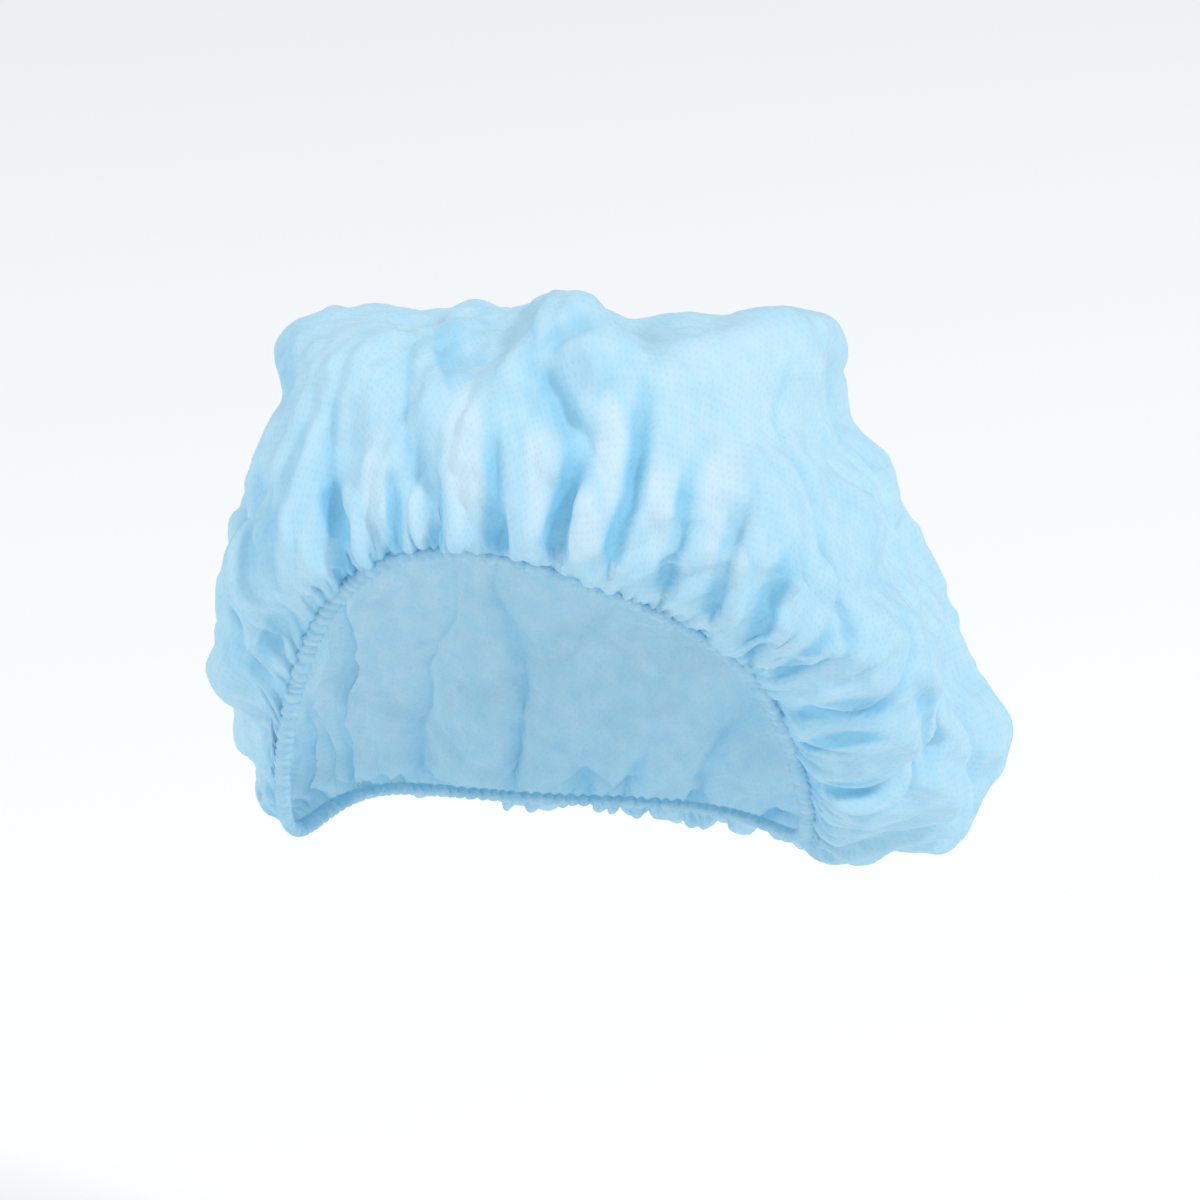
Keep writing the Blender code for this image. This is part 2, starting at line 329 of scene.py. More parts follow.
# %% [markdown]
# The photograph shows where the cap's edge runs. Each push moves the cloth near one place on that edge by a
# few millimetres, across or up in the photograph's plane. The first table bends the sheet before it settles,
# and the last one trims it afterwards. Where near_only is 1, the far side of the cap stays where it is.

# %% Small pushes on the seen outline
SEEN_LEVEL = 0.052
FREE_FROM_HEM = 0.014            # pushes grow over this length of cloth, so that the hem stays in its place
NEAR_FROM, NEAR_OVER = 0.01, 0.04
Push = namedtuple("Push", "name across up reach by_across by_up near_only")
PUSHES = [
    Push("left_corner", -73, 71, 38, 4.5, -3.0, 0),
    Push("left_notch", -78, 42, 34, 4.0, 0, 0),
    Push("left_flank", -97, 12, 26, 7.5, 0, 0),
    Push("left_low_flank", -98, -12, 22, 4.5, 0, 0),
    Push("left_foot", -86, -52, 26, 5.5, 3.0, 0),
    Push("dip_left_of_tuft", -31, 68, 22, 0, -5.0, 1),
    Push("dip_right_of_tuft", 21, 68, 20, 0, -5.5, 1),
    Push("tuft", 5, 74, 14, 0, 1.5, 1),
    Push("tuft_left", -5, 71, 10, 0, 1.0, 1),
    Push("tuft_right", 14, 71, 10, 0, 2.0, 1),
    Push("low_bump", -20, 70, 13, 0, 3.0, 1),
    Push("right_corner", 80, 68, 22, 0.5, 1.0, 0),
    Push("right_notch", 84, 42, 16, -3.0, 0, 0),
    Push("right_fold", 95, 28, 14, 3.0, 0, 0),
    Push("right_shoulder", 105, 10, 20, -2.5, 0, 0),
    Push("right_flank", 113, -14, 22, 3.5, 0, 0),
    Push("right_tip", 129, -54, 28, 3.5, 0, 0),
    Push("right_underside", 100, -86, 30, 0, 4.0, 0),
]
LAST_PUSHES = [
    Push("left_top", -71, 76, 20, 0, -2.0, 0),
    Push("left_small_notch", -89, 38, 15, 3.2, 0, 0),
    Push("left_flank", -107, -5, 26, 4.4, 0, 0),
    Push("left_foot", -95, -63, 20, 3.0, 0, 0),
    Push("right_notch", 83, 47, 16, -2.0, 0, 0),
    Push("right_flank", 124, -33, 20, -4.5, 0, 0),
    Push("right_underside", 106, -88, 24, 0, 4.5, 0),
]


def seen_places(points):
    """Millimetres across and up in the photograph's plane, from the middle of the hem's front."""
    return points @ ACROSS * 1000, (points @ UPWARDS - SEEN_LEVEL) * 1000


def pushed(points, from_hem, pushes):
    """The points after a table of pushes, each of which fades out over its reach."""
    across, up = seen_places(points)
    near_side = smooth_step((points @ TOWARDS - NEAR_FROM) / NEAR_OVER)
    free_of_hem = smooth_step(from_hem / FREE_FROM_HEM)
    moved_points = points.copy()
    for push in pushes:
        share = smooth_step(1 - np.hypot(across - push.across, up - push.up) / push.reach) * free_of_hem
        share *= np.where(push.near_only, near_side, 1)
        moved_points += share[:, None] * (push.by_across * ACROSS + push.by_up * UPWARDS) / 1000
    return moved_points


shape = pushed(shape, from_hem, PUSHES)
outward = point_normals(shape, disc_faces)
print(len(PUSHES), "pushes on the outline")

# %% [markdown]
# Each row of pleats is a wave round the hem. It rises from the elastic, and fades out further in. The coarse
# rows reach far up the bag and the fine rows end soon, so the pleats seem to merge. At the front they are
# made lower, to give way to creases that are placed one by one. Depth, rise and fade are in metres.

# %% Pleats at the hem
Pleats = namedtuple("Pleats", "count depth rise fade seed")
PLEATS = [
    Pleats(23, 0.0055, 0.030, 0.150, 6),
    Pleats(40, 0.0038, 0.016, 0.062, 4),
    Pleats(84, 0.0021, 0.008, 0.030, 9),
]
FINE_PLEATS = [Pleats(136, 0.0021, 0.005, 0.016, 2)]
AT_HEM = 0.15
UNEVENNESS = 0.30
PUFF_HEIGHT, PUFF_ROUNDNESS = 1.7, 0.8
WANDER, WANDER_LENGTH, WANDER_RISE = 0.16, 0.017, 0.03
QUIET_MIDDLE, QUIET_REACH, QUIET_SHARE = math.radians(32), math.radians(74), 0.70


def uneven_turns(at, count, seed):
    """Turns of a wave round the hem, with pleats of unlike widths."""
    draw = np.random.default_rng(seed)
    warp = sum(
        draw.uniform(0.6, 1.0) / slow * np.sin(slow * at + draw.uniform(0, 2 * math.pi))
        for slow in (5, 8, 13, 21)
    )
    return count * (at + UNEVENNESS * warp) / (2 * math.pi)


def puffs(turns):
    """Wide round ridges between narrow valleys, one for each turn."""
    return PUFF_HEIGHT * np.abs(np.sin(math.pi * turns)) ** PUFF_ROUNDNESS - 1


def pleat_heights(rows, angle, from_hem):
    """Heights of all rows of pleats together, in metres."""
    total = np.zeros(len(angle))
    for pleats in rows:
        draw = np.random.default_rng(pleats.seed)
        turns = uneven_turns(angle, pleats.count, pleats.seed)
        lengths = draw.uniform(0.45, 1.25, pleats.count)
        depths = draw.uniform(0.6, 1.3, pleats.count)
        which = np.floor(turns).astype(int) % pleats.count
        after = (which + 1) % pleats.count
        change = smooth_step(turns % 1)
        length = lengths[which] * (1 - change) + lengths[after] * change
        depth = depths[which] * (1 - change) + depths[after] * change
        wander = WANDER * np.sin(from_hem / WANDER_LENGTH + 3 * np.sin(angle * 7 + pleats.seed))
        wander *= smooth_step(from_hem / WANDER_RISE)
        grow = AT_HEM + (1 - AT_HEM) * smooth_step(from_hem / pleats.rise)
        fade = 1 - smooth_step(from_hem / (pleats.fade * length))
        total += pleats.depth * depth * puffs(turns + wander) * grow * fade
    return total


drawn_by_hand = QUIET_SHARE * smooth_step(1 - abs(angle - QUIET_MIDDLE) / QUIET_REACH)
folded = pleat_heights(PLEATS, angle, from_hem) * (1 - drawn_by_hand)
shape = shape + outward * folded[:, None]
print("pleats:", [pleats.count for pleats in PLEATS])

# %% [markdown]
# Thin cloth that was folded flat in its packet keeps straight, shallow creases with flat facets between them.
# Waves with sharp turns run across the flat disc in many directions. Each comes and goes, so that no crease
# runs right across. Where the hem draws the disc together, they close up into pleats by themselves.

# %% Packing creases
FACET_SLOPE = 0.12
FACETS = 9
FACET_LENGTHS = (0.022, 0.058)
BEND, BEND_SIZE = 0.8, 0.07      # how far a crease strays from a straight line, and over what length
PATCH_SIZE = 0.045               # a crease comes and goes over patches of this size


def packing_creases(flat_points, slope, count, lengths, seed):
    """Heights of a creased sheet, from its flat points in metres."""
    draw = np.random.default_rng(seed)
    bends = np.array([noise.noise(Vector((x / BEND_SIZE, y / BEND_SIZE, seed))) for x, y in flat_points])
    total = np.zeros(len(flat_points))
    for number in range(count):
        turn = math.pi * (number + draw.uniform(-0.3, 0.3)) / count
        length = draw.uniform(*lengths)
        along = flat_points @ np.array([math.cos(turn), math.sin(turn)])
        wave = abs((along / length + BEND * bends + draw.uniform()) % 1 * 2 - 1)
        shift = draw.uniform(0, 100)
        come = [noise.noise(Vector((x / PATCH_SIZE, y / PATCH_SIZE, shift))) for x, y in flat_points]
        total += slope * length / 2 * (wave - 0.5) * smooth_step((np.array(come) + 0.10) / 0.30)
    return total


flat_disc = disc * FLAT_RADIUS
facets = packing_creases(flat_disc, FACET_SLOPE, FACETS, FACET_LENGTHS, 5)
shape = shape + outward * (facets * smooth_step(from_hem / 0.012))[:, None]
print("packing creases: up to", round(float(abs(facets).max()) * 1000, 1), "mm")

# %% [markdown]
# The creases at the front are laps: the cloth falls gently into each and climbs steeply out of it, as where a
# fold lies over its neighbour. They are pressed in last, on the finest mesh, so that their edges stay crisp.
# Depths, widths and paths are in millimetres on the photograph's plane, and only the side it sees is marked.

# %% Creases seen on the front
STEEP_SIDE, GENTLE_SIDE = 0.55, 1.4          # of a crease's width
Bank = namedtuple("Bank", "height beside width")
BANKS = [Bank(0.65, 1.3, 0.9), Bank(0.25, -2.4, 1.1)]
START_FADE, END_FADE = 0.3, 0.45             # of a crease's length
FACING, SEEN_DEPTH = 0.35, 0.02
Crease = namedtuple("Crease", "name depth width at_hem path")
CREASES = [
    Crease("front_left_1", 2.4, 2.8, 1, [(-39, -1), (-39, 12), (-41, 26)]),
    Crease("front_left_2", 2.4, 2.8, 1, [(-28, 1), (-28, 14), (-30, 27)]),
    Crease("front_left_3", 2.8, 3.6, 1, [(-11, 2), (-12, 16), (-13, 40)]),
    Crease("tuft_line_low", 3.3, 3.2, 1, [(4, 2), (7, 16), (11, 31)]),
    Crease("tuft_line_middle", 2.3, 3.2, 0, [(11, 30), (4, 43), (-1, 52)]),
    Crease("tuft_line_high", 2.3, 3.2, 0, [(-1, 51), (5, 58), (17, 63)]),
    Crease("tuft_side", 1.9, 4.4, 0, [(-28, 66), (-27, 54), (-22, 42)]),
    Crease("front_right_1", 3.0, 3.0, 1, [(19, -1), (24, 14), (27, 34), (29, 50)]),
    Crease("front_right_2", 2.5, 2.8, 1, [(33, -8), (38, 10), (41, 28)]),
    Crease("front_right_3", 2.2, 3.0, 1, [(46, -14), (50, 0), (56, 22)]),
    Crease("right_diagonal", 2.4, 4.0, 1, [(58, -24), (63, -10), (71, 4)]),
    Crease("right_gather_1", 1.3, 2.4, 1, [(66, -32), (74, -26), (82, -18)]),
    Crease("right_gather_2", 1.1, 2.2, 1, [(72, -44), (84, -42), (98, -41)]),
    Crease("right_gather_3", 1.1, 2.2, 1, [(74, -53), (86, -51), (99, -50)]),
    Crease("right_gather_4", 1.1, 2.4, 1, [(76, -66), (88, -66), (98, -63)]),
    Crease("right_long", 2.0, 3.6, 0, [(101, -29), (106, -49), (109, -69)]),
    Crease("right_corner_line", 1.9, 3.8, 0, [(80, 60), (81, 42), (87, 24)]),
    Crease("right_flap", 1.7, 3.0, 0, [(88, 40), (90, 28), (98, 20)]),
    Crease("left_corner_line", 1.8, 4.0, 0, [(-72, 66), (-73, 52), (-72, 36)]),
    Crease("left_side", 1.7, 4.0, 0, [(-76, 26), (-80, 4), (-82, -18)]),
    Crease("left_low", 1.7, 3.6, 0, [(-70, -12), (-78, -26), (-84, -42)]),
    Crease("front_left_4", 1.9, 3.2, 1, [(-52, -4), (-54, 8), (-58, 24)]),
]


def seen_share(points, normals):
    """How well the photograph sees each point, from 0 to 1."""
    return smooth_step((normals @ TOWARDS) / FACING) * smooth_step((points @ TOWARDS) / SEEN_DEPTH)


def beside_path(path, across, up):
    """Each point's distance from a path, below 0 on its left, and the share of the path's length there."""
    nearest, along = np.full(len(across), 1e9), np.zeros(len(across))
    path = np.array(path, float)
    spans = np.linalg.norm(np.diff(path, axis=0), axis=1)
    for k, span in enumerate(spans):
        step = path[k + 1] - path[k]
        right, above = across - path[k, 0], up - path[k, 1]
        held = np.clip((right * step[0] + above * step[1]) / span**2, 0, 1)
        side = np.sign(right * step[1] - above * step[0])
        gap = side * np.hypot(right - held * step[0], above - held * step[1])
        closer = abs(gap) < abs(nearest)
        nearest[closer] = gap[closer]
        along[closer] = (spans[:k].sum() + held[closer] * span) / spans.sum()
    return nearest, along


def crease_marks(points, normals):
    """Along each crease's path: the cloth's height, and the painted shade of its valley, from 0 to 1, which
    stands also for the cloth lapping over itself.
    """
    across, up = seen_places(points)
    seen = seen_share(points, normals)
    heights, crease_shade = np.zeros(len(points)), np.zeros(len(points))
    for crease in CREASES:
        gap, along = beside_path(crease.path, across, up)
        gap /= crease.width
        ends = smooth_step((1 - along) / END_FADE)
        ends *= np.where(crease.at_hem, 1, smooth_step(along / START_FADE))
        valley = np.exp(-((gap / np.where(gap > 0, STEEP_SIDE, GENTLE_SIDE)) ** 2))
        banks = sum(bank.height * np.exp(-(((gap - bank.beside) / bank.width) ** 2)) for bank in BANKS)
        heights += crease.depth / 1000 * ends * seen * (banks - valley)
        # Painted shade: the valley's middle is marked to be coloured deeper blue, in full on creases from the
        # hem and half on the others; it stands also for cloth lapping over itself.
        crease_shade += ends * seen * smooth_step((valley - 0.25) / 0.45) * np.where(crease.at_hem, 1, 0.5)
    return heights, np.minimum(crease_shade, 1)


print(len(CREASES), "creases on the front")

# %% [markdown]
# ## The cloth settles
# Drawn folds look too even. A short cloth simulation lets the sheet settle: the hem is held, every other
# point is drawn back weakly to its place, and the cloth grows a little, so that it buckles into folds of its
# own. Only the short, sharp part of that movement is kept, because the drawn form already has the long part.

# %% Cloth simulation
CLOTH_FRAMES = 24
GROW = 0.09
HOLD, TOP_HOLD = 0.08, 0.20
HOLD_FROM, HOLD_OVER = 0.055, 0.045          # heights where the hold grows to that of the top
TOP_CALM = 0.70
CALM_FROM, CALM_OVER = 0.065, 0.035          # heights where the movement is calmed
SLOW_CELLS, SLOW_LOSS = 7, 0.9
MOST_MOVE = 0.008


def mesh_object(name, points, faces, uv=None):
    data = bpy.data.meshes.new(name)
    data.from_pydata(points.tolist(), [], faces.tolist())
    if uv is not None:
        layer = data.uv_layers.new(name="flat_cloth")
        corners = np.zeros(len(data.loops), int)
        data.loops.foreach_get("vertex_index", corners)
        layer.data.foreach_set("uv", uv[corners].astype(np.float32).ravel())
    thing = bpy.data.objects.new(name, data)
    bpy.context.scene.collection.objects.link(thing)
    return thing


def mesh_points(data):
    points = np.zeros(len(data.vertices) * 3)
    data.vertices.foreach_get("co", points)
    return points.reshape(-1, 3)


def point_uv(data):
    """Each point's place on the flat cloth."""
    corners = np.zeros(len(data.loops), int)
    data.loops.foreach_get("vertex_index", corners)
    places = np.zeros(len(data.loops) * 2)
    data.uv_layers["flat_cloth"].data.foreach_get("uv", places)
    result = np.zeros((len(data.vertices), 2))
    result[corners] = places.reshape(-1, 2)
    return result


def settle(cloth, hold):
    """Lets the sheet buckle with its hem held, and gives its points after the last frame."""
    group = cloth.vertex_groups.new(name="hold")
    for value in np.unique(hold):
        group.add(np.nonzero(hold == value)[0].tolist(), float(value), "REPLACE")
    run = cloth.modifiers.new("settle", "CLOTH")
    made = run.settings
    made.quality = 5
    made.mass = 0.02
    made.tension_stiffness = made.compression_stiffness = 15
    made.shear_stiffness = 5
    made.bending_stiffness = 0.15
    made.tension_damping = made.compression_damping = made.shear_damping = 5
    made.bending_damping = 0.5
    made.air_damping = 1
    made.shrink_min = -GROW
    made.vertex_group_mass = "hold"
    made.pin_stiffness = 1.0
    made.effector_weights.gravity = 0.05
    run.collision_settings.use_collision = False
    run.collision_settings.use_self_collision = False
    for moment in range(1, CLOTH_FRAMES + 1):
        bpy.context.scene.frame_set(moment)
    settled = cloth.evaluated_get(bpy.context.evaluated_depsgraph_get())
    points = mesh_points(settled.data)
    bpy.context.scene.frame_set(1)
    return points


def slow_part(move, cells):
    """A movement's slow part over the disc's grid, by repeated short averages."""
    grid = move.reshape(GRID, GRID, 3)
    for _ in range(cells * cells):
        wide = np.pad(grid, ((1, 1), (1, 1), (0, 0)), mode="edge")
        grid = (wide[:-2, 1:-1] + wide[2:, 1:-1] + wide[1:-1, :-2] + wide[1:-1, 2:] + 2 * grid) / 6
    return grid.reshape(-1, 3)


cloth = mesh_object("settling_cloth", shape, disc_faces)
hold = HOLD + (TOP_HOLD - HOLD) * smooth_step((shape[:, 2] - HOLD_FROM) / HOLD_OVER)
hold = np.round(hold, 2)
hold[share_in < 0.5 / GRID] = 1
settled = settle(cloth, hold)
bpy.data.objects.remove(cloth)
move = settled - shape
move -= SLOW_LOSS * slow_part(move, SLOW_CELLS)
move *= 1 - TOP_CALM * smooth_step((shape[:, 2] - CALM_FROM) / CALM_OVER)[:, None]
size = np.linalg.norm(move, axis=1, keepdims=True)
move *= MOST_MOVE * np.tanh(size / MOST_MOVE) / np.maximum(size, 1e-9)
shape = shape + move
usual, most = float(size.mean()) * 1000, float(size.max()) * 1000
print("the cloth moved", round(usual, 2), "mm, at most", round(most, 1))

# %% [markdown]
# ## The crown
# One subdivision smooths the settled sheet, and the last pushes bring its edge to the photograph's outline
# where the cloth has settled away from it. Then the creases and fine crinkles are pressed in: non-woven cloth
# is stiff for its weight and keeps the marks of its packing.

# %% Crown mesh
FLAT_SIZE = 2 * FLAT_RADIUS
FINE_SLOPE, FINE_CREASES, FINE_LENGTHS = 0.08, 8, (0.008, 0.018)
CREASED_AT_HEM, CREASE_RISE = 0.15, 0.010

crown = mesh_object("cap_crown", shape, disc_faces, uv=disc / 2 + 0.5)
smoother = crown.modifiers.new("smooth", "SUBSURF")
smoother.levels = smoother.render_levels = 1
fine = bpy.data.meshes.new_from_object(crown.evaluated_get(bpy.context.evaluated_depsgraph_get()))
crown.modifiers.clear()
crown.data = fine
fine.shade_smooth()
fine_outward = np.zeros(len(fine.vertices) * 3)
fine.vertices.foreach_get("normal", fine_outward)
fine_outward = fine_outward.reshape(-1, 3)
fine_flat = point_uv(fine) * FLAT_SIZE
fine_angle, _, fine_from_hem = places_on_cap(fine_flat / FLAT_RADIUS - 1)
fine_points = pushed(mesh_points(fine), fine_from_hem, LAST_PUSHES)
creased, crease_shade = crease_marks(fine_points, fine_outward)
creased *= CREASED_AT_HEM + (1 - CREASED_AT_HEM) * smooth_step(fine_from_hem / CREASE_RISE)
creased += pleat_heights(FINE_PLEATS, fine_angle, fine_from_hem)
creased += packing_creases(fine_flat, FINE_SLOPE, FINE_CREASES, FINE_LENGTHS, 11)
fine.vertices.foreach_set("co", (fine_points + fine_outward * creased[:, None]).ravel())
fine.update()
print("crown:", len(fine.polygons), "faces")

# %% [markdown]
# Where folds lie over each other the sheer cloth looks a deeper blue. The valleys of the creases and pleats
# are also painted deeper blue, as painted shade, and pale patches on the front and the upper corners are
# painted light, almost white. An attribute on the mesh holds this painted light and shade with the doubled
# hem, from 0 to 1, and the finish reads it. The patches are given in millimetres on the view's plane.

# %% Layers of cloth, painted light and painted shade
Patch = namedtuple("Patch", "name across up half_width half_height paler")
# Pale patches of painted light, coloured almost white: where they lie, across and up in millimetres, their half
# sizes, and how pale.
PAINTED_LIGHT_PATCHES = [
    Patch("front_1", -45, 18, 4.5, 18, 0.80),
    Patch("front_2", -32, 13, 4.0, 14, 0.90),
    Patch("front_3", -21, 27, 7.0, 25, 0.90),
    Patch("front_4", 0, 20, 7.0, 21, 1.00),
    Patch("front_5", 11, 8, 6.0, 12, 1.00),
    Patch("front_6", 18, 27, 5.0, 20, 1.00),
    Patch("front_7", 31, 10, 7.0, 20, 1.00),
    Patch("front_8", 48, 12, 9.0, 26, 1.00),
    Patch("upper_right", 54, 44, 30, 26, 0.30),
    Patch("upper_left", -52, 52, 22, 20, 0.12),
]
# Weights of the painted shade in crease and pleat valleys, of the doubled hem, and of the painted light in the
# pale patches, on a plain cloth level.
ONE_LAYER, CREASE_SHADE_GAIN, PLEAT_SHADE_GAIN, HEM_GAIN, PATCH_LOSS = 0.42, 0.55, 0.45, 0.25, 0.42
# Pleat valleys get painted shade, deeper blue, which stands also for cloth folded in them; a valley this deep
# gets all of it.
DEEP_PLEAT = 0.006               # a valley this deep counts as fully folded
HEM_SEAM = 0.012                 # the folded edge shows through over this length
PATCH_EDGE = 1.9                 # above 1, a patch is flat in its middle


def painted_light_shade_and_layers(points, normals, crease_shade):
    """Painted light and shade, with how much cloth there is at each point: from 0, pale painted light, to 1,
    deep painted shade in crease and pleat valleys and cloth folded over itself.
    """
    across, up = seen_places(points)
    painted_light = np.zeros(len(points))
    for patch in PAINTED_LIGHT_PATCHES:
        far = np.hypot((across - patch.across) / patch.half_width, (up - patch.up) / patch.half_height)
        painted_light = np.maximum(painted_light, patch.paler * smooth_step(PATCH_EDGE * (1 - far)))
    # Painted shade: deeper blue in the valleys of the pleats.
    pleated = pleat_heights(PLEATS, fine_angle, fine_from_hem)
    pleat_shade = np.clip(-pleated / DEEP_PLEAT, 0, 1)
    near_hem = 1 - smooth_step(fine_from_hem / HEM_SEAM)
    total = ONE_LAYER + CREASE_SHADE_GAIN * crease_shade + PLEAT_SHADE_GAIN * pleat_shade + HEM_GAIN * near_hem
    return np.clip(total - PATCH_LOSS * painted_light * seen_share(points, normals), 0, 1)


light_shade_and_layers = painted_light_shade_and_layers(fine_points, fine_outward, crease_shade)
fine.attributes.new("light_shade_and_layers", "FLOAT", "POINT").data.foreach_set("value", light_shade_and_layers.astype(np.float32))
print("layers:", round(float(light_shade_and_layers.min()), 2), "to", round(float(light_shade_and_layers.max()), 2))

# %% [markdown]
# ## The hem
# On the real cap the cloth's edge is folded over a thin elastic, which draws it up into hundreds of tiny
# ruches. It follows a line, so Geometry Nodes make it: a path that knows which way the cloth leaves it, a
# flat oval profile swept along, and a wave of uneven ruches that pushes its surface in and out. Two small
# functions serve every node tree below: one turns a colour to linear, and one adds a node with its links.

# %% Helpers for node trees
def srgb(text):
    """A hex colour as Blender's linear numbers."""
    channels = [int(text[k:k + 2], 16) / 255 for k in (1, 3, 5)]
    return [c / 12.92 if c <= 0.04045 else ((c + 0.055) / 1.055) ** 2.4 for c in channels] + [1]


def add(tree, kind, links=(), **settings):
    """A node in a tree, with its settings, and its inputs as (socket, value or output) pairs."""
    node = tree.nodes.new(kind)
    for name, value in settings.items():
        setattr(node, name, value)
    for socket, value in links:
        if isinstance(value, bpy.types.NodeSocket):
            tree.links.new(value, node.inputs[socket])
        else:
            node.inputs[socket].default_value = value
    return node


# %% [markdown]
# The path is a closed loop of points on the hem's middle line. Each point carries the way in which the cloth
# leaves the hem there, so that the flat profile can lie along the cloth.

# %% Hem path
HEM_POINTS = 600

hem_angles = np.linspace(0, 2 * math.pi, HEM_POINTS, endpoint=False)
hem_edges = [(k, (k + 1) % HEM_POINTS) for k in range(HEM_POINTS)]
path_data = bpy.data.meshes.new("hem_path")
path_data.from_pydata(hem_line(hem_angles).tolist(), hem_edges, [])
cloth_way = path_data.attributes.new("cloth_way", "FLOAT_VECTOR", "POINT")
cloth_way.data.foreach_set("vector", hem_frame(hem_angles)[1].astype(np.float32).ravel())
hem_steps = np.diff(hem_line(np.append(hem_angles, 0)), axis=0)
print("hem path:", round(float(np.linalg.norm(hem_steps, axis=1).sum()) * 1000), "mm long")

# %% [markdown]
# The tree sweeps the oval along the path, then moves each point of its surface in or out. The wave has one
# ridge for each ruche, and noise makes the ridges unlike each other. Its sizes are named inputs.

# %% Ruched hem tree
HEM_SIZES = {
    "Half height": 0.0023,
    "Half thickness": 0.0015,
    "Ruche depth": 0.0010,
    "Ruches": 170.0,
    "Unevenness": 1.6,
}
HEM_STEPS, HEM_SIDES = 1500, 12
DRIFT_SCALE = 140.0      # to the metre: the ruches change over about 7 mm
VALLEY = 0.6             # of a ruche's depth: its valleys lie this far under the oval

tree = bpy.data.node_groups.new("ruched_hem", "GeometryNodeTree")
tree.interface.new_socket("Geometry", in_out="INPUT", socket_type="NodeSocketGeometry")
tree.interface.new_socket("Geometry", in_out="OUTPUT", socket_type="NodeSocketGeometry")
for name in HEM_SIZES:
    tree.interface.new_socket(name, in_out="INPUT", socket_type="NodeSocketFloat")
tree.interface.new_socket("Finish", in_out="INPUT", socket_type="NodeSocketMaterial")
given = add(tree, "NodeGroupInput").outputs
way = [("Name", "cloth_way")]
way = add(tree, "GeometryNodeInputNamedAttribute", way, data_type="FLOAT_VECTOR").outputs[0]
path = add(tree, "GeometryNodeMeshToCurve", [("Mesh", given["Geometry"])]).outputs[0]
path = add(tree, "GeometryNodeResampleCurve", [("Curve", path), ("Count", HEM_STEPS)]).outputs[0]
path = add(tree, "GeometryNodeSetCurveNormal", [("Curve", path), ("Normal", way)], mode="FREE").outputs[0]
along = add(tree, "GeometryNodeSplineParameter").outputs["Factor"]
store = [("Geometry", path), ("Name", "along"), ("Value", along)]
path = add(tree, "GeometryNodeStoreNamedAttribute", store, data_type="FLOAT").outputs[0]
circle = [("Resolution", HEM_SIDES), ("Radius", 1.0)]
circle = add(tree, "GeometryNodeCurvePrimitiveCircle", circle).outputs[0]
oval = add(tree, "ShaderNodeCombineXYZ", [(0, given["Half height"]), (1, given["Half thickness"]), (2, 1.0)])
profile = add(tree, "GeometryNodeTransform", [("Geometry", circle), ("Scale", oval.outputs[0])]).outputs[0]
swept = add(tree, "GeometryNodeCurveToMesh", [("Curve", path), ("Profile Curve", profile)]).outputs[0]

along = add(tree, "GeometryNodeInputNamedAttribute", [("Name", "along")], data_type="FLOAT").outputs[0]
place = add(tree, "GeometryNodeInputPosition").outputs[0]
drift = [("Vector", place), ("Scale", DRIFT_SCALE), ("Detail", 1.0)]
drift = add(tree, "ShaderNodeTexNoise", drift).outputs[0]
turns = add(tree, "ShaderNodeMath", [(0, along), (1, given["Ruches"])], operation="MULTIPLY").outputs[0]
drift = add(tree, "ShaderNodeMath", [(0, drift), (1, given["Unevenness"])], operation="MULTIPLY").outputs[0]
turns = add(tree, "ShaderNodeMath", [(0, turns), (1, drift)], operation="ADD").outputs[0]
turns = add(tree, "ShaderNodeMath", [(0, turns), (1, math.pi)], operation="MULTIPLY").outputs[0]
ridge = add(tree, "ShaderNodeMath", [(0, turns)], operation="SINE").outputs[0]
ridge = add(tree, "ShaderNodeMath", [(0, ridge)], operation="ABSOLUTE").outputs[0]
ridge = add(tree, "ShaderNodeMath", [(0, ridge), (1, VALLEY)], operation="SUBTRACT").outputs[0]
ridge = add(tree, "ShaderNodeMath", [(0, ridge), (1, given["Ruche depth"])], operation="MULTIPLY").outputs[0]
normal = add(tree, "GeometryNodeInputNormal").outputs[0]
push = add(tree, "ShaderNodeVectorMath", [(0, normal), ("Scale", ridge)], operation="SCALE").outputs[0]
ruched = add(tree, "GeometryNodeSetPosition", [("Geometry", swept), ("Offset", push)]).outputs[0]
ruched = add(tree, "GeometryNodeSetShadeSmooth", [("Geometry", ruched)]).outputs[0]
ruched = add(tree, "GeometryNodeRealizeInstances", [("Geometry", ruched)]).outputs[0]
ruched = [("Geometry", ruched), ("Material", given["Finish"])]
ruched = add(tree, "GeometryNodeSetMaterial", ruched).outputs[0]
add(tree, "NodeGroupOutput", [("Geometry", ruched)])
print("hem tree:", len(tree.nodes), "nodes")

# %% [markdown]
# ## Spunbond cloth
# The cloth is spunbond polypropylene: endless fibres blown into a thin web and pressed together by a heated
# roller with small raised points. So the eye sees a cloudy web, thicker here and thinner there, tiny clear
# bond points in rows, a soft sheen, and light that comes through. Two layers look deeper blue than one.

# %% Cloth finish
# The pale blue is painted light on the pale patches, the middle blue is the plain cloth, and the deep blue is
# painted shade in crease and pleat valleys together with the doubled cloth at the hem.
PAINTED_LIGHT_BLUE, CLOTH_BLUE, SHADE_AND_LAYERS_BLUE = "#DAEDF5", "#BAE1F1", "#93D0EB"
BOND_PITCH = 0.0022      # real points lie about 1 mm apart; drawn twice as coarse, so that they show
CLOUD_SIZE = 0.0070      # thick and thin clouds of fibre
FIBRE_SIZE = 0.0008      # bundles of fibre
CRINKLE_SIZE = 0.0060    # the finest creases


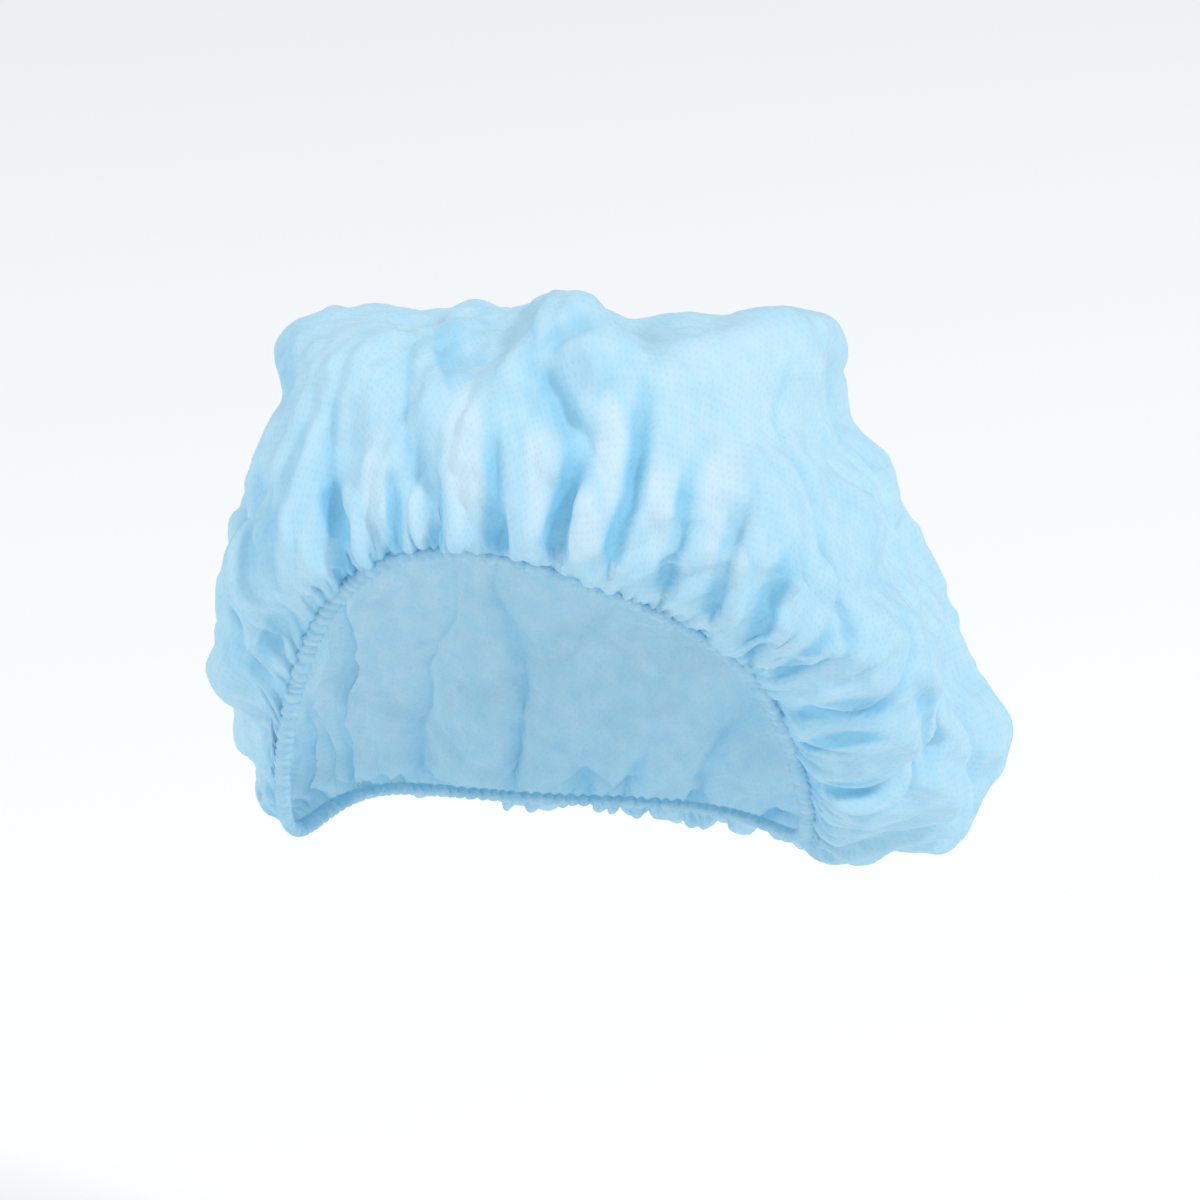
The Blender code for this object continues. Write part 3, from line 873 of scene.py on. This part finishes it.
def cloth_finish():
    stuff = bpy.data.materials.new("spunbond_polypropylene_cloth")
    stuff.use_nodes = True
    tree = stuff.node_tree
    tree.nodes.clear()
    flat = add(tree, "ShaderNodeUVMap", uv_map="flat_cloth").outputs[0]

    clouds = [("Vector", flat), ("Scale", FLAT_SIZE / CLOUD_SIZE), ("Detail", 3.0)]
    clouds = add(tree, "ShaderNodeTexNoise", clouds, noise_dimensions="2D").outputs[0]
    fibres = [("Vector", flat), ("Scale", FLAT_SIZE / FIBRE_SIZE), ("Detail", 2.0), ("Distortion", 1.5)]
    fibres = add(tree, "ShaderNodeTexNoise", fibres, noise_dimensions="2D").outputs[0]
    crinkle = [("Vector", flat), ("Scale", FLAT_SIZE / CRINKLE_SIZE), ("Detail", 3.0), ("Distortion", 0.4)]
    crinkle = add(tree, "ShaderNodeTexNoise", crinkle, noise_dimensions="2D").outputs[0]
    crinkle = add(tree, "ShaderNodeMath", [(0, crinkle), (1, 0.5)], operation="SUBTRACT").outputs[0]
    crinkle = add(tree, "ShaderNodeMath", [(0, crinkle)], operation="ABSOLUTE").outputs[0]

    turned = add(tree, "ShaderNodeMapping", [("Vector", flat), ("Rotation", (0, 0, math.pi / 4))]).outputs[0]
    points = [("Vector", turned), ("Scale", FLAT_SIZE / BOND_PITCH), ("Randomness", 0.0)]
    points = add(tree, "ShaderNodeTexVoronoi", points, voronoi_dimensions="2D").outputs["Distance"]
    points = [("Value", points), ("From Min", 0.18), ("From Max", 0.30), ("To Min", 1.0), ("To Max", 0.0)]
    points = add(tree, "ShaderNodeMapRange", points, interpolation_type="SMOOTHSTEP").outputs[0]

    # This attribute brings in the painted light and painted shade, and the doubled hem; clouds of fibre then
    # vary it at random.
    light_shade_and_layers = add(tree, "ShaderNodeAttribute", attribute_name="light_shade_and_layers").outputs["Fac"]
    cloudy = [("Value", clouds), ("From Min", 0.3), ("From Max", 0.7), ("To Min", -0.10), ("To Max", 0.10)]
    cloudy = add(tree, "ShaderNodeMapRange", cloudy).outputs[0]
    blue_depth = add(tree, "ShaderNodeMath", [(0, light_shade_and_layers), (1, cloudy)], operation="ADD").outputs[0]
    blues = add(tree, "ShaderNodeValToRGB", [(0, blue_depth)])
    for stop, colour in zip(blues.color_ramp.elements, (PAINTED_LIGHT_BLUE, SHADE_AND_LAYERS_BLUE)):
        stop.color = srgb(colour)
    blues.color_ramp.elements.new(0.5).color = srgb(CLOTH_BLUE)
    blue = blues.outputs[0]

    dents = [("Height", crinkle), ("Strength", 0.5), ("Distance", 0.0005)]
    dents = add(tree, "ShaderNodeBump", dents).outputs[0]
    dents = [("Height", fibres), ("Normal", dents), ("Strength", 0.35), ("Distance", 0.0001)]
    dents = add(tree, "ShaderNodeBump", dents).outputs[0]
    dents = [("Height", points), ("Normal", dents), ("Strength", 0.3), ("Distance", 0.0001)]
    dents = add(tree, "ShaderNodeBump", dents, invert=True).outputs[0]

    solid = [("Base Color", blue), ("Roughness", 0.62), ("IOR", 1.49), ("Normal", dents)]
    solid = add(tree, "ShaderNodeBsdfPrincipled", solid)
    solid.inputs["Sheen Weight"].default_value = 0.25
    solid.inputs["Sheen Roughness"].default_value = 0.4
    through = add(tree, "ShaderNodeBsdfTranslucent", [("Color", blue), ("Normal", dents)]).outputs[0]
    web = add(tree, "ShaderNodeMixShader", [(0, 0.33), (1, solid.outputs[0]), (2, through)]).outputs[0]
    # Where the painted light makes the cloth paler, it also lets a little more light straight through.
    open_share = [("Value", blue_depth), ("To Min", 0.07), ("To Max", 0.02)]
    open_share = add(tree, "ShaderNodeMapRange", open_share).outputs[0]
    open_share = [(0, points), (1, 0.05), (2, open_share)]
    open_share = add(tree, "ShaderNodeMath", open_share, operation="MULTIPLY_ADD").outputs[0]
    clear = add(tree, "ShaderNodeBsdfTransparent", [("Color", srgb("#EAF7FD"))]).outputs[0]
    whole = add(tree, "ShaderNodeMixShader", [(0, open_share), (1, web), (2, clear)]).outputs[0]
    add(tree, "ShaderNodeOutputMaterial", [("Surface", whole)])
    return stuff


crown.data.materials.append(cloth_finish())
print("cloth finish on", crown.name)

# %% [markdown]
# The hem is the same cloth, doubled and drawn up, so it lets less light through and looks a little deeper
# blue. Its fibres and clouds lie in space, not on the flat cloth, because its surface has no flat shape.

# %% Hem finish
HEM_BLUE, HEM_DEEP = "#B6DFF1", "#A3D6EC"
HEM_FIBRES, HEM_CLOUDS = 900.0, 220.0        # to the metre: fibre bundles of 1.1 mm, clouds of 4.5 mm


def hem_finish():
    stuff = bpy.data.materials.new("ruched_double_cloth")
    stuff.use_nodes = True
    tree = stuff.node_tree
    tree.nodes.clear()
    place = add(tree, "ShaderNodeTexCoord").outputs["Object"]
    fibres = [("Vector", place), ("Scale", HEM_FIBRES), ("Detail", 3.0)]
    fibres = add(tree, "ShaderNodeTexNoise", fibres).outputs[0]
    clouds = [("Vector", place), ("Scale", HEM_CLOUDS), ("Detail", 2.0)]
    clouds = add(tree, "ShaderNodeTexNoise", clouds).outputs[0]
    ramp = add(tree, "ShaderNodeValToRGB", [(0, clouds)])
    ramp.color_ramp.elements[0].position, ramp.color_ramp.elements[1].position = 0.35, 0.65
    ramp.color_ramp.elements[0].color, ramp.color_ramp.elements[1].color = srgb(HEM_BLUE), srgb(HEM_DEEP)
    dents = [("Height", fibres), ("Strength", 0.6), ("Distance", 0.0003)]
    dents = add(tree, "ShaderNodeBump", dents).outputs[0]
    solid = [("Base Color", ramp.outputs[0]), ("Roughness", 0.6), ("IOR", 1.49), ("Normal", dents)]
    solid = add(tree, "ShaderNodeBsdfPrincipled", solid)
    solid.inputs["Sheen Weight"].default_value = 0.2
    solid.inputs["Sheen Roughness"].default_value = 0.4
    through = add(tree, "ShaderNodeBsdfTranslucent", [("Color", ramp.outputs[0])]).outputs[0]
    whole = add(tree, "ShaderNodeMixShader", [(0, 0.25), (1, solid.outputs[0]), (2, through)]).outputs[0]
    add(tree, "ShaderNodeOutputMaterial", [("Surface", whole)])
    return stuff


# %% [markdown]
# The tree runs once on the path, with its sizes and finish set. What it makes becomes a plain mesh, and the
# path's own object goes.

# %% Make the hem
def made_plain(name, start, tree, sizes, finish):
    """An object at the origin whose mesh is what a tree makes from a starting mesh."""
    seed = bpy.data.objects.new(name + "_start", start)
    bpy.context.scene.collection.objects.link(seed)
    maker = seed.modifiers.new("make", "NODES")
    maker.node_group = tree
    for item in tree.interface.items_tree:
        if item.in_out == "INPUT" and item.name in sizes:
            maker[item.identifier] = sizes[item.name]
        if item.in_out == "INPUT" and item.name == "Finish":
            maker[item.identifier] = finish
    data = bpy.data.meshes.new_from_object(seed.evaluated_get(bpy.context.evaluated_depsgraph_get()))
    bpy.data.objects.remove(seed)
    made = bpy.data.objects.new(name, data)
    bpy.context.scene.collection.objects.link(made)
    return made


hem = made_plain("cap_hem", path_data, bpy.data.node_groups["ruched_hem"], HEM_SIZES, hem_finish())
print("hem:", len(hem.data.polygons), "faces, finish", [m.name for m in hem.data.materials])

# %% [markdown]
# ## Floor, light and air
# A wide pale floor fills every view from above. It glows a little, so that it stays pale to its edge.

# %% Floor
FLOOR_DROP, FLOOR_RADIUS, FLOOR_GLOW = 0.30, 14, 0.18


def make_floor():
    mesh = bmesh.new()
    bmesh.ops.create_circle(mesh, cap_ends=True, segments=96, radius=FLOOR_RADIUS)
    bmesh.ops.translate(mesh, verts=mesh.verts, vec=(0, 0, -FLOOR_DROP))
    data = bpy.data.meshes.new("studio_floor")
    mesh.to_mesh(data)
    mesh.free()
    floor = bpy.data.objects.new("studio_floor", data)
    bpy.context.scene.collection.objects.link(floor)
    paint = bpy.data.materials.new("matt_floor_paint")
    paint.use_nodes = True
    shader = paint.node_tree.nodes["Principled BSDF"]
    shader.inputs["Base Color"].default_value = srgb("#E8EAEB")
    shader.inputs["Roughness"].default_value = 0.9
    shader.inputs["Emission Color"].default_value = srgb("#FFFFFF")
    shader.inputs["Emission Strength"].default_value = FLOOR_GLOW
    data.materials.append(paint)
    return floor


make_floor()


# %% [markdown]
# A soft lamp stands at the upper right, and a weaker, larger one at the left, so the folds show without hard
# shadows. A third stands behind and shines into the sheer cloth. Pale air lights the rest from all sides.

# %% Lamps and air
Lamp = namedtuple("Lamp", "name place size watts")
LAMPS = [
    Lamp("key", (3.2, -2.0, 2.9), 0.8, 105),
    Lamp("fill", (-3.5, -3.0, 2.2), 2.4, 66),
    Lamp("back", (2.8, 3.2, 2.0), 1.2, 24),
]

for lamp in LAMPS:
    light = bpy.data.lights.new(lamp.name, "AREA")
    light.shape, light.size, light.energy = "DISK", lamp.size, lamp.watts
    holder = bpy.data.objects.new(lamp.name, light)
    bpy.context.scene.collection.objects.link(holder)
    holder.location = lamp.place
    holder.rotation_euler = (-Vector(lamp.place)).to_track_quat("-Z", "Y").to_euler()
world = bpy.data.worlds.new("air")
bpy.context.scene.world = world
world.use_nodes = True
world.node_tree.nodes["Background"].inputs["Color"].default_value = srgb("#F4F7FA")
world.node_tree.nodes["Background"].inputs["Strength"].default_value = 0.70
bpy.context.scene.view_settings.view_transform = "Standard"
print(len(LAMPS), "lamps over a floor", FLOOR_DROP, "m below the hem")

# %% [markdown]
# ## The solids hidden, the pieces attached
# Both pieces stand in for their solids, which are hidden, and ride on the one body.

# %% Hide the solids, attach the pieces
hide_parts("crown")
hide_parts("elastic_hem")
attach(crown, "root")
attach(hem, "root")
